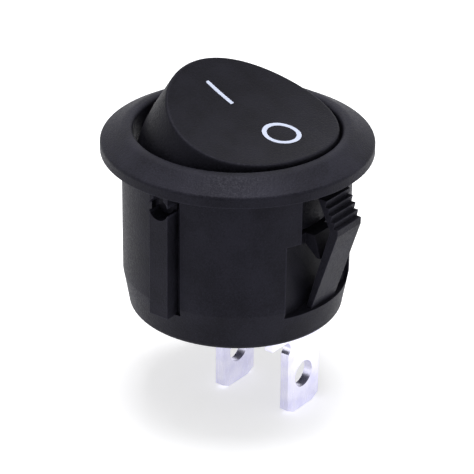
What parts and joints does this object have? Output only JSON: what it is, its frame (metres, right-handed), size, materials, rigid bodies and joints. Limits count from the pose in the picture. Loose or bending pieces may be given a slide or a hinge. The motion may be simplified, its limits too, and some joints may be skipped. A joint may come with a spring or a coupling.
{
  "type": "panel rocker switch",
  "caption": "Round snap-in panel rocker switch: a flanged housing with two flexing side wings, a tilting button and two flat tab terminals, for switching a small load on and off.",
  "frame": {"origin": "centre of the flange's underside, which is the face of the panel that the switch snaps into", "axes": "+Z along the body's axis, out of the panel; X along the rocker's pivot, through the two side ribs; Y along the rocker's travel, with the O end and the switched terminal at -Y and the I end at +Y"},
  "size_m": [0.023, 0.0232, 0.0287],
  "materials": {
    "housing_nylon": "satin black moulded nylon with a fine spark texture",
    "rocker_nylon": "satin black moulded nylon with a fine spark texture",
    "plunger_acetal": "smooth natural acetal",
    "spring_steel": "bright drawn spring wire",
    "arm_copper": "bare rolled copper strip",
    "contact_silver": "bright silver rivet",
    "terminal_metal": "bright silver-plated brass with stamped edges"
  },
  "bodies": {
    "housing": {"housing": "housing_nylon", "common_terminal": "terminal_metal", "switched_terminal": "terminal_metal", "fixed_contact": "contact_silver"},
    "rocker": {"rocker": "rocker_nylon", "plunger_spring": "spring_steel"},
    "plunger": {"plunger": "plunger_acetal"},
    "contact_arm": {"contact_arm": "arm_copper", "moving_contact": "contact_silver"}
  },
  "joints": [
    {"name": "rocker_tilt", "type": "hinge", "parent": "housing", "child": "rocker", "pos_m": [0, 0, -0.0017], "axis": [-1, 0, 0], "range_deg": [0, 32]},
    {"name": "contact_arm_rock", "type": "hinge", "parent": "housing", "child": "contact_arm", "pos_m": [0, 0, -0.0093], "axis": [1, 0, 0], "range_deg": [0, 13]},
    {"name": "plunger_slide", "type": "slide", "parent": "rocker", "child": "plunger", "axis": [0, -0.2756, 0.9613], "range_m": [0, 0.0012], "stiffness_N_per_m": 500, "springref_m": -0.002, "deforming": ["plunger_spring"]}
  ],
  "couplings": [
    {"joint": "contact_arm_rock", "follows": "rocker_tilt", "ratio": 0.40625}
  ]
}
